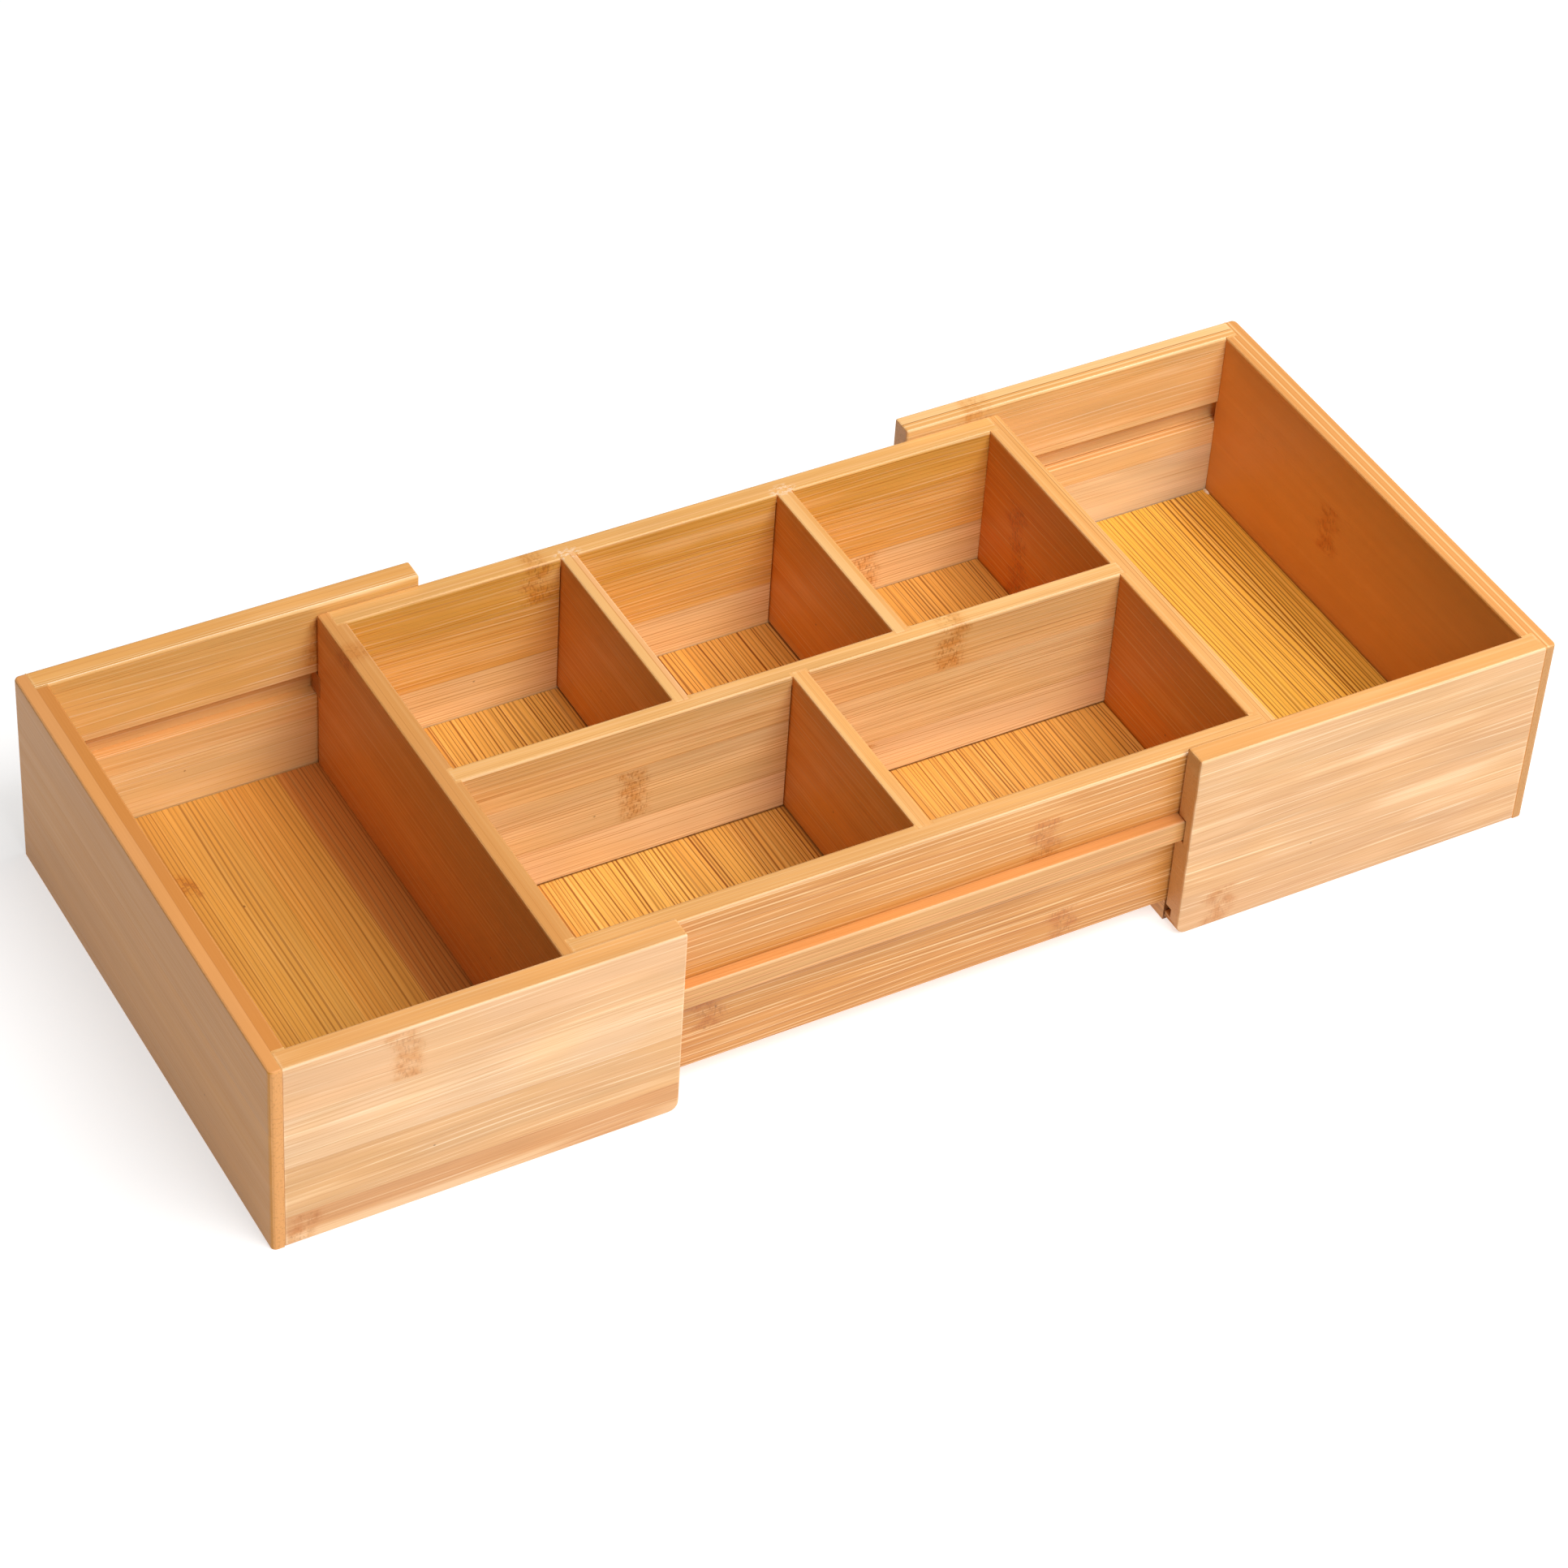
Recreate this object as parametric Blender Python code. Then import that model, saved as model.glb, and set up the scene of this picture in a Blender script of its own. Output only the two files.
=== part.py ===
"""Expandable bamboo drawer organizer.

A centre tray with five compartments, and a U-shaped tray at each end that slides out along X.
A guide rail on the centre tray's front and on its back runs in a groove in each sliding tray.
X is the long axis, the front faces -Y, and the sliding trays' undersides are at z = 0.
"""

import bpy
import bmesh
from mathutils import Matrix, Vector

MM = 0.001
GAP = 0.3 * MM  # clearance kept between pieces that touch

# Whole organizer, opened out
LENGTH = 398.0 * MM
DEPTH = 170.0 * MM
HEIGHT = 65.0 * MM

# Sliding end trays
TRAY_LENGTH = 119.5 * MM
TRAY_WALL = 7.2 * MM  # front and back walls
TRAY_END = 7.6 * MM  # end wall
TRAY_LAP = 3.5 * MM  # part of the end wall that laps over the side walls' ends
TRAY_BASE = 7.0 * MM

# Centre tray
CENTER_LENGTH = 222.0 * MM
CENTER_SHIFT = -0.6 * MM
CENTER_TOP = 62.3 * MM
CENTER_WALL = 6.7 * MM  # front and back walls
CENTER_END = 6.4 * MM
CENTER_LAP = 3.2 * MM
CENTER_BASE = 7.0 * MM
SIDE_CLEARANCE = 0.5 * MM  # between the centre tray's sides and the sliding trays' walls

# Dividers
LONG_DIVIDER = 5.8 * MM
CROSS_DIVIDER = 5.0 * MM
BACK_DIVIDER_OFFSET = 35.1 * MM
HOUSING = 2.0 * MM  # depth that a divider's end is let into its neighbour

# Guide rails and their grooves
RAIL_BOTTOM = 33.0 * MM
RAIL_HEIGHT = 7.3 * MM
RAIL_PROUD = 3.9 * MM
RAIL_LET_IN = 1.8 * MM
GROOVE_BOTTOM = 32.6 * MM
GROOVE_HEIGHT = 8.3 * MM
GROOVE_DEPTH = 4.1 * MM

# Tongue round each base panel, in a groove in the walls
TONGUE = 2.8 * MM
TONGUE_LOW = 3.6 * MM  # above the base's underside
TONGUE_HIGH = 6.4 * MM
TONGUE_STOPS_SHORT = 10.0 * MM  # from a sliding tray's open end

# Edges
EASED = 0.6 * MM
RAIL_EASED = 0.45 * MM
TRAY_CORNER = 1.6 * MM
CENTER_CORNER = 1.0 * MM
OPEN_CORNER = 3.0 * MM
REACH = 5.0 * MM  # how far a cutter passes the face that it cuts

tray_inside_y = DEPTH / 2 - TRAY_WALL
center_bottom = TRAY_BASE + GAP
center_floor = center_bottom + CENTER_BASE
center_y = tray_inside_y - SIDE_CLEARANCE
center_inside_y = center_y - CENTER_WALL
center_left = CENTER_SHIFT - CENTER_LENGTH / 2
center_right = CENTER_SHIFT + CENTER_LENGTH / 2

PALE = (0.80, 0.56, 0.30)
GOLDEN = (0.72, 0.42, 0.15)
AMBER = (0.64, 0.33, 0.09)
ORANGE = (0.78, 0.40, 0.14)
SATIN = 0.5

# The rebates cross an end wall's rounded rim, where the exact solver leaves open slivers
ROUND_RIM_SOLVER = "MANIFOLD"


def clear_scene():
    for existing in list(bpy.data.objects):
        bpy.data.objects.remove(existing)


def make_material(name, colour):
    material = bpy.data.materials.new(name)
    material.use_nodes = True
    shader = material.node_tree.nodes["Principled BSDF"]
    shader.inputs["Base Color"].default_value = (*colour, 1.0)
    shader.inputs["Roughness"].default_value = SATIN
    shader.inputs["Metallic"].default_value = 0.0
    return material


def box(x, y, z):
    """Opposite corners of a block from its ranges, each given in either order."""
    ranges = [sorted(pair) for pair in (x, y, z)]
    return Vector([low for low, high in ranges]), Vector([high for low, high in ranges])


def block_mesh(boxes):
    mesh = bmesh.new()
    for low, high in boxes:
        place = Matrix.Translation((low + high) / 2) @ Matrix.Diagonal((*(high - low), 1.0))
        bmesh.ops.create_cube(mesh, size=1.0, matrix=place)
    return mesh


def add_object(name, mesh, body):
    data = bpy.data.meshes.new(name)
    mesh.to_mesh(data)
    mesh.free()
    piece = bpy.data.objects.new(name, data)
    piece.parent = body
    bpy.context.scene.collection.objects.link(piece)
    return piece


def add_body(name, x):
    """An empty that carries one rigid body."""
    body = bpy.data.objects.new(name, None)
    body.location = (x, 0.0, 0.0)
    bpy.context.scene.collection.objects.link(body)
    return body


def near(value, target):
    return abs(value - target) < 1e-6


def runs_along(axis, a, b):
    return near(abs(a[axis] - b[axis]), (a - b).length)


def both_at(axis, place, a, b):
    return near(a[axis], place) and near(b[axis], place)


def board(name, extent, colour, body, rounds=(), cuts=(), solver="EXACT"):
    """One board: a block whose chosen edges are rounded, and then each group of blocks cut from it."""
    mesh = block_mesh([extent])
    for chosen, radius, segments in rounds:
        edges = [edge for edge in mesh.edges if chosen(edge.verts[0].co, edge.verts[1].co)]
        bmesh.ops.bevel(mesh, geom=edges, offset=radius, segments=segments, profile=0.5, affect="EDGES")
    piece = add_object(name, mesh, body)
    piece.data.materials.append(make_material(name, colour))
    piece.data.shade_smooth()
    piece.data.set_sharp_from_angle(angle=0.6)
    for number, group in enumerate(cuts):
        cutter = add_object(f"{name}_cutter_{number}", block_mesh(group), body)
        cutter.hide_render = True
        cutter.display_type = "WIRE"
        cut = piece.modifiers.new(f"cut_{number}", "BOOLEAN")
        cut.operation = "DIFFERENCE"
        cut.solver = solver
        cut.object = cutter
    return piece


def panel(name, extent, colour, body, has_tongue, split_x=None):
    """A base panel, with a tongue drawn out of each side that has_tongue accepts."""
    low, high = extent
    mesh = block_mesh([extent])
    planes = [((0, 0, low.z + TONGUE_LOW), (0, 0, 1)), ((0, 0, low.z + TONGUE_HIGH), (0, 0, 1))]
    if split_x is not None:
        planes.append(((split_x, 0, 0), (1, 0, 0)))
    for point, normal in planes:
        geometry = mesh.verts[:] + mesh.edges[:] + mesh.faces[:]
        bmesh.ops.bisect_plane(mesh, geom=geometry, plane_co=point, plane_no=normal)
    middle = low.z + (TONGUE_LOW + TONGUE_HIGH) / 2
    mesh.normal_update()
    sides = []
    for face in mesh.faces:
        center = face.calc_center_median()
        if near(center.z, middle) and has_tongue(center, face.normal):
            sides.append(face)
    for face in bmesh.ops.extrude_discrete_faces(mesh, faces=sides)["faces"]:
        bmesh.ops.translate(mesh, verts=face.verts, vec=face.normal * TONGUE)
    piece = add_object(name, mesh, body)
    piece.data.materials.append(make_material(name, colour))
    return piece


def tongue_groove(base_bottom):
    """Height range of the groove that takes a base panel's tongue."""
    return base_bottom + TONGUE_LOW - GAP / 2, base_bottom + TONGUE_HIGH + GAP / 2


def sliding_tray(side_name, side):
    """An end tray, open towards the middle. side is -1 on the left and 1 on the right."""
    body = add_body(side_name + "_tray", side * LENGTH / 2)
    half = DEPTH / 2
    over = (-REACH, HEIGHT + REACH)

    def inward(distance):
        """X of a place measured inwards from the tray's outer end."""
        return -side * distance

    open_x = inward(TRAY_LENGTH)
    wall_x = inward(TRAY_LAP + GAP)

    # End wall, rebated at both ends so that it laps over the side walls
    def outer_corner(a, b):
        return both_at(0, inward(0.0), a, b) and runs_along(2, a, b)

    def rim(a, b):
        return both_at(2, HEIGHT, a, b) or (both_at(2, 0.0, a, b) and both_at(0, inward(0.0), a, b))

    shoulder = tray_inside_y - GAP
    beyond_x = inward(TRAY_END + REACH)
    rebates = [box((inward(TRAY_LAP), beyond_x), (s * shoulder, s * (half + REACH)), over) for s in (-1, 1)]
    groove = box((inward(TRAY_END - TONGUE - GAP), beyond_x), (-half, half), tongue_groove(0.0))
    board(
        side_name + "_end_wall",
        box((inward(0.0), inward(TRAY_END)), (-half, half), (0.0, HEIGHT)),
        GOLDEN,
        body,
        [(outer_corner, TRAY_CORNER, 4), (rim, EASED, 2)],
        [rebates, [groove]],
        ROUND_RIM_SOLVER,
    )

    # Front and back walls, with the guide groove and the base groove along the inside
    def open_foot(a, b):
        return both_at(0, open_x, a, b) and both_at(2, 0.0, a, b)

    def outline(a, b):
        if both_at(0, wall_x, a, b):
            return False
        on_outside = both_at(1, -half, a, b) or both_at(1, half, a, b)
        on_open_end = both_at(0, open_x, a, b)
        return on_outside or on_open_end or both_at(2, HEIGHT, a, b)

    for name, s in (("front", -1), ("back", 1)):
        along_x = (wall_x - inward(REACH), open_x + inward(REACH))
        grooves = [
            box(along_x, (s * (tray_inside_y + depth), s * (tray_inside_y - REACH)), z)
            for depth, z in (
                (GROOVE_DEPTH, (GROOVE_BOTTOM, GROOVE_BOTTOM + GROOVE_HEIGHT)),
                (TONGUE + GAP, tongue_groove(0.0)),
            )
        ]
        board(
            f"{side_name}_{name}_wall",
            box((wall_x, open_x), (s * half, s * tray_inside_y), (0.0, HEIGHT)),
            PALE,
            body,
            [(open_foot, OPEN_CORNER, 4), (outline, EASED, 2)],
            [grooves],
        )

    # Base, flush with the walls' undersides
    stop_x = inward(TRAY_LENGTH - TONGUE_STOPS_SHORT)

    def has_tongue(center, normal):
        before_stop = (center.x - stop_x) * side > 0
        return before_stop and (abs(normal.y) > 0.5 or normal.x * side > 0.5)

    panel(
        side_name + "_base",
        box((inward(TRAY_END + GAP), open_x), (-tray_inside_y + GAP, tray_inside_y - GAP), (0.0, TRAY_BASE)),
        AMBER,
        body,
        has_tongue,
        stop_x,
    )


def center_tray():
    body = add_body("center_tray", 0.0)
    over = (center_bottom - REACH, CENTER_TOP + REACH)
    height = (center_bottom, CENTER_TOP)
    standing = (center_floor + GAP, CENTER_TOP)
    housing_z = (center_floor, CENTER_TOP + REACH)
    rail_bed = (RAIL_BOTTOM - GAP, RAIL_BOTTOM + RAIL_HEIGHT + GAP)
    wall_x = (center_left + CENTER_LAP + GAP, center_right - CENTER_LAP - GAP)
    divider_half = CROSS_DIVIDER / 2
    back_divider_x = [CENTER_SHIFT - BACK_DIVIDER_OFFSET, CENTER_SHIFT + BACK_DIVIDER_OFFSET]

    def top_along_x(a, b):
        return both_at(2, CENTER_TOP, a, b) and runs_along(0, a, b)

    def top_along_y(a, b):
        return both_at(2, CENTER_TOP, a, b) and runs_along(1, a, b)

    def housing(x, face_y, into):
        """Housing for a cross divider's end, let into the face at face_y in the direction of into."""
        half = divider_half + GAP
        return box((x - half, x + half), (face_y - into * REACH, face_y + into * HOUSING), housing_z)

    # Front and back walls: base groove and divider housings inside, a bed for the guide rail outside
    for name, s, divider_places in (("front", -1, [CENTER_SHIFT]), ("back", 1, back_divider_x)):
        past = (wall_x[0] - REACH, wall_x[1] + REACH)
        base_groove = box(
            past, (s * (center_inside_y + TONGUE + GAP), s * (center_inside_y - REACH)), tongue_groove(center_bottom)
        )
        bed = box(past, (s * (center_y - RAIL_LET_IN - GAP), s * (center_y + REACH)), rail_bed)
        housings = [housing(x, s * center_inside_y, s) for x in divider_places]
        board(
            f"center_{name}_wall",
            box(wall_x, (s * center_inside_y, s * center_y), height),
            GOLDEN,
            body,
            [(top_along_x, EASED, 2)],
            [[base_groove, bed], housings],
        )

        def proud_edge(a, b, face=s * (center_y + RAIL_PROUD)):
            return both_at(1, face, a, b)

        board(
            name + "_guide_rail",
            box(
                (center_left, center_right),
                (s * (center_y - RAIL_LET_IN), s * (center_y + RAIL_PROUD)),
                (RAIL_BOTTOM, RAIL_BOTTOM + RAIL_HEIGHT),
            ),
            ORANGE,
            body,
            [(proud_edge, RAIL_EASED, 2)],
        )

    # End walls, rebated over the front and back walls' ends and housing the long divider
    long_half = LONG_DIVIDER / 2
    for name, s, outer_x in (("left", -1, center_left), ("right", 1, center_right)):
        inner_x = outer_x - s * CENTER_END
        past_x = inner_x - s * REACH

        def outer_corner(a, b, x=outer_x):
            return both_at(0, x, a, b) and runs_along(2, a, b)

        def rim(a, b):
            return both_at(2, CENTER_TOP, a, b)

        rebates = [
            box((outer_x - s * CENTER_LAP, past_x), (e * (center_inside_y - GAP), e * (center_y + REACH)), over)
            for e in (-1, 1)
        ]
        base_groove = box((inner_x + s * (TONGUE + GAP), past_x), (-center_y, center_y), tongue_groove(center_bottom))
        beds = [
            box((outer_x + s * REACH, past_x), (e * (center_y - RAIL_LET_IN - GAP), e * (center_y + REACH)), rail_bed)
            for e in (-1, 1)
        ]
        divider_housing = box(
            (inner_x + s * HOUSING, past_x), (-long_half - GAP, long_half + GAP), housing_z
        )
        board(
            f"center_{name}_wall",
            box((outer_x, inner_x), (-center_y, center_y), height),
            GOLDEN,
            body,
            [(outer_corner, CENTER_CORNER, 3), (rim, EASED, 2)],
            [rebates, [base_groove], beds, [divider_housing]],
            ROUND_RIM_SOLVER,
        )

    # Dividers
    let_in = HOUSING - GAP
    long_x = center_left + CENTER_END - let_in, center_right - CENTER_END + let_in
    board(
        "long_divider",
        box(long_x, (-long_half, long_half), standing),
        GOLDEN,
        body,
        [(top_along_x, EASED, 2)],
        [[housing(x, long_half, -1) for x in back_divider_x] + [housing(CENTER_SHIFT, -long_half, 1)]],
    )
    for name, s, x in (
        ("back_divider_left", 1, back_divider_x[0]),
        ("back_divider_right", 1, back_divider_x[1]),
        ("front_divider", -1, CENTER_SHIFT),
    ):
        board(
            name,
            box(
                (x - divider_half, x + divider_half),
                (s * (long_half - let_in), s * (center_inside_y + let_in)),
                standing,
            ),
            GOLDEN,
            body,
            [(top_along_y, EASED, 2)],
        )

    def has_tongue(center, normal):
        return abs(normal.z) < 0.5

    inside_y = center_inside_y - GAP
    panel(
        "center_base",
        box(
            (center_left + CENTER_END + GAP, center_right - CENTER_END - GAP),
            (-inside_y, inside_y),
            (center_bottom, center_floor),
        ),
        AMBER,
        body,
        has_tongue,
    )


clear_scene()
center_tray()
sliding_tray("left", -1)
sliding_tray("right", 1)
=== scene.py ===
"""Expandable bamboo drawer organizer: the looks of its boards, a pale studio floor, soft light and the camera."""

import math
import random
from collections import namedtuple

import bmesh
import bpy
from mathutils import Matrix, Vector


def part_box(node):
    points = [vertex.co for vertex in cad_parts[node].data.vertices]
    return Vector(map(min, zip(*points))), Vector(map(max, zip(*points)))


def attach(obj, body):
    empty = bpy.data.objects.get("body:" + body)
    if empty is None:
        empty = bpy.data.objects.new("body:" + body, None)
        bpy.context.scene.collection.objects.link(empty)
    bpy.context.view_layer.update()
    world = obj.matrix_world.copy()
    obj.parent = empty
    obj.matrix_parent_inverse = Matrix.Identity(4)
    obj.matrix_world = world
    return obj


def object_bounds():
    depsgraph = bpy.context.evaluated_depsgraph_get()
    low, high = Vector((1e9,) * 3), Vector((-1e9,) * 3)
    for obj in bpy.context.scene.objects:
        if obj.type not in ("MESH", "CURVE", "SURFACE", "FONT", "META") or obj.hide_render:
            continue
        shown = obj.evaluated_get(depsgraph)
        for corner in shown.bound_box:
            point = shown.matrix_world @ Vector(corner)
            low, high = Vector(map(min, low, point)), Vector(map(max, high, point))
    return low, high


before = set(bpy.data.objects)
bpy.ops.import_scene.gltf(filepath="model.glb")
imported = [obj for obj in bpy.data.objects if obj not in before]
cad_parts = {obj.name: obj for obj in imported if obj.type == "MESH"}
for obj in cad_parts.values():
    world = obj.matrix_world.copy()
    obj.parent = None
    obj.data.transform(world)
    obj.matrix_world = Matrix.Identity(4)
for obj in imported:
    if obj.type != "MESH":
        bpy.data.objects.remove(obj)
CAD_LOW, CAD_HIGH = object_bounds()
MM = 0.001
TO_MM = 1000.0


# ---------------------------------------------------------------- colours


def rgb(code):
    """A scene-linear colour from a display code such as "E9BE88"."""
    channels = [int(code[i : i + 2], 16) / 255 for i in (0, 2, 4)]
    linear = [c / 12.92 if c <= 0.04045 else ((c + 0.055) / 1.055) ** 2.4 for c in channels]
    return (*linear, 1.0)


# ---------------------------------------------------------------- node helper


class Graph:
    """Builds one node material, with every step named by what it does."""

    def __init__(self, name):
        self.material = bpy.data.materials.new(name)
        self.material.use_nodes = True
        self.tree = self.material.node_tree
        self.tree.nodes.clear()

    def node(self, kind, **settings):
        made = self.tree.nodes.new(kind)
        for key, value in settings.items():
            setattr(made, key, value)
        return made

    def feed(self, socket, value):
        if isinstance(value, bpy.types.NodeSocket):
            self.tree.links.new(value, socket)
        else:
            socket.default_value = value

    def math(self, operation, *values):
        made = self.node("ShaderNodeMath", operation=operation)
        for socket, value in zip(made.inputs, values):
            self.feed(socket, value)
        return made.outputs[0]

    def add(self, a, b):
        return self.math("ADD", a, b)

    def subtract(self, a, b):
        return self.math("SUBTRACT", a, b)

    def times(self, *values):
        result = values[0]
        for value in values[1:]:
            result = self.math("MULTIPLY", result, value)
        return result

    def around(self, value, amount):
        """Turns 0 to 1 into -amount to +amount."""
        return self.math("MULTIPLY_ADD", value, 2 * amount, -amount)

    def step(self, value, low, high):
        """Rises smoothly from 0 at low to 1 at high. low may be above high."""
        made = self.node("ShaderNodeMapRange", interpolation_type="SMOOTHSTEP")
        self.feed(made.inputs["Value"], value)
        self.feed(made.inputs["From Min"], low)
        self.feed(made.inputs["From Max"], high)
        return made.outputs[0]

    def vector(self, x, y, z):
        made = self.node("ShaderNodeCombineXYZ")
        for socket, value in zip(made.inputs, (x, y, z)):
            self.feed(socket, value)
        return made.outputs[0]

    def noise(self, vector, detail=2.0, roughness=0.55):
        made = self.node("ShaderNodeTexNoise", noise_dimensions="3D")
        self.feed(made.inputs["Vector"], vector)
        made.inputs["Scale"].default_value = 1.0
        made.inputs["Detail"].default_value = detail
        made.inputs["Roughness"].default_value = roughness
        return made.outputs[0]

    def chance(self, value, seed):
        """Three random numbers that stay the same for the same value."""
        made = self.node("ShaderNodeTexWhiteNoise", noise_dimensions="2D")
        self.feed(made.inputs["Vector"], self.vector(value, seed, 0.0))
        split = self.node("ShaderNodeSeparateColor")
        self.feed(split.inputs[0], made.outputs["Color"])
        return split.outputs[0], split.outputs[1], split.outputs[2]

    def mix(self, factor, a, b, blend="MIX"):
        made = self.node("ShaderNodeMix", data_type="RGBA", blend_type=blend)
        self.feed(made.inputs[0], factor)
        self.feed(made.inputs[6], a)
        self.feed(made.inputs[7], b)
        return made.outputs[2]

    def split(self, vector):
        made = self.node("ShaderNodeSeparateXYZ")
        self.feed(made.inputs[0], vector)
        return made.outputs

    def bands(self, number, codes):
        """The colour with that number in codes. Numbers past the last take the last."""
        made = self.node("ShaderNodeValToRGB")
        ramp = made.color_ramp
        ramp.interpolation = "CONSTANT"
        for i, code in enumerate(codes):
            mark = ramp.elements[0] if i == 0 else ramp.elements.new(i / RAMP_PLACES)
            mark.color = rgb(code)
        while len(ramp.elements) > len(codes):
            ramp.elements.remove(ramp.elements[len(ramp.elements) - 1])
        self.feed(made.inputs[0], self.math("MULTIPLY_ADD", number, 1 / RAMP_PLACES, 0.5 / RAMP_PLACES))
        return made.outputs[0]

    def grey(self, value):
        made = self.node("ShaderNodeCombineColor")
        for socket in made.inputs:
            self.feed(socket, value)
        return made.outputs[0]

    def surface(self, colour, roughness, height, depth, glow=0.0, gloss=0.5):
        shader = self.node("ShaderNodeBsdfPrincipled")
        self.feed(shader.inputs["Base Color"], colour)
        self.feed(shader.inputs["Roughness"], roughness)
        shader.inputs["Emission Color"].default_value = (1.0, 1.0, 1.0, 1.0)
        shader.inputs["Emission Strength"].default_value = glow
        shader.inputs["Specular IOR Level"].default_value = gloss
        if height is not None:
            bump = self.node("ShaderNodeBump")
            bump.inputs["Strength"].default_value = 1.0
            bump.inputs["Distance"].default_value = depth
            self.feed(bump.inputs["Height"], height)
            self.feed(shader.inputs["Normal"], bump.outputs[0])
        end = self.node("ShaderNodeOutputMaterial")
        self.feed(end.inputs[0], shader.outputs[0])
        return self.material


# ---------------------------------------------------------------- bamboo boards

# What each material slot looks like. light: colour of its pale streaks and lines. dark: what its dark fibres
# multiply the colour by. fibres, thick: how strong and how thick (mm) its soft fibres are. broken: how much of
# each fine line is left out. lines, line_space, line_half: how strong its fine dark lines are, how far apart and
# half as wide as (mm). pale_lines, glow, speck: how strong its pale lines, pale streaks and knot specks are.
# rim, rim_share: colour and strength of its edge grain. end: its end grain. worn: how pale its edges are, partly from
# wear and partly as a painted highlight.
LOOKS = {
    "bamboo_pale": {
        "light": "FDE6C0", "dark": (0.74, 0.54, 0.34), "fibres": 0.34, "thick": 0.40, "broken": 0.38,
        "lines": 0.62, "line_space": 1.25, "line_half": 0.14, "pale_lines": 0.55, "glow": 0.36, "speck": 0.32,
        "rim": "E4A45E", "rim_share": 0.80, "end": "DC9C5C", "wear_and_sheen": 0.25, "gloss": 0.50,
    },
    "bamboo_golden": {
        "light": "FBD8A4", "dark": (0.64, 0.42, 0.22), "fibres": 0.34, "thick": 0.38, "broken": 0.30,
        "lines": 0.80, "line_space": 1.05, "line_half": 0.15, "pale_lines": 0.65, "glow": 0.30, "speck": 0.55,
        "rim": "E4AB6A", "rim_share": 0.80, "end": "D0924F", "wear_and_sheen": 0.22, "gloss": 0.50,
    },
    "bamboo_end": {
        "light": "E2B078", "dark": (0.84, 0.70, 0.52), "fibres": 0.14, "thick": 0.60, "broken": 0.34,
        "lines": 0.25, "line_space": 1.9, "line_half": 0.10, "pale_lines": 0.08, "glow": 0.14, "speck": 0.45,
        "rim": "E29F62", "rim_share": 0.90, "end": "E2A262", "wear_and_sheen": 0.10, "gloss": 0.36,
    },
    "bamboo_floor": {
        "light": "F8C878", "dark": (0.32, 0.17, 0.06), "fibres": 0.16, "thick": 0.40, "broken": 0.12,
        "lines": 1.00, "line_space": 1.35, "line_half": 0.25, "pale_lines": 0.30, "glow": 0.08, "speck": 0.75,
        "rim": "C98A42", "rim_share": 0.40, "end": "B4763A", "wear_and_sheen": 0.20, "gloss": 0.50,
    },
    "bamboo_rail": {
        "light": "F8B87A", "dark": (0.74, 0.50, 0.32), "fibres": 0.40, "thick": 0.50, "broken": 0.25,
        "lines": 0.75, "line_space": 1.1, "line_half": 0.15, "pale_lines": 0.55, "glow": 0.30, "speck": 0.50,
        "rim": "E09250", "rim_share": 0.70, "end": "B8783E", "wear_and_sheen": 0.25, "gloss": 0.50,
    },
}

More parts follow.
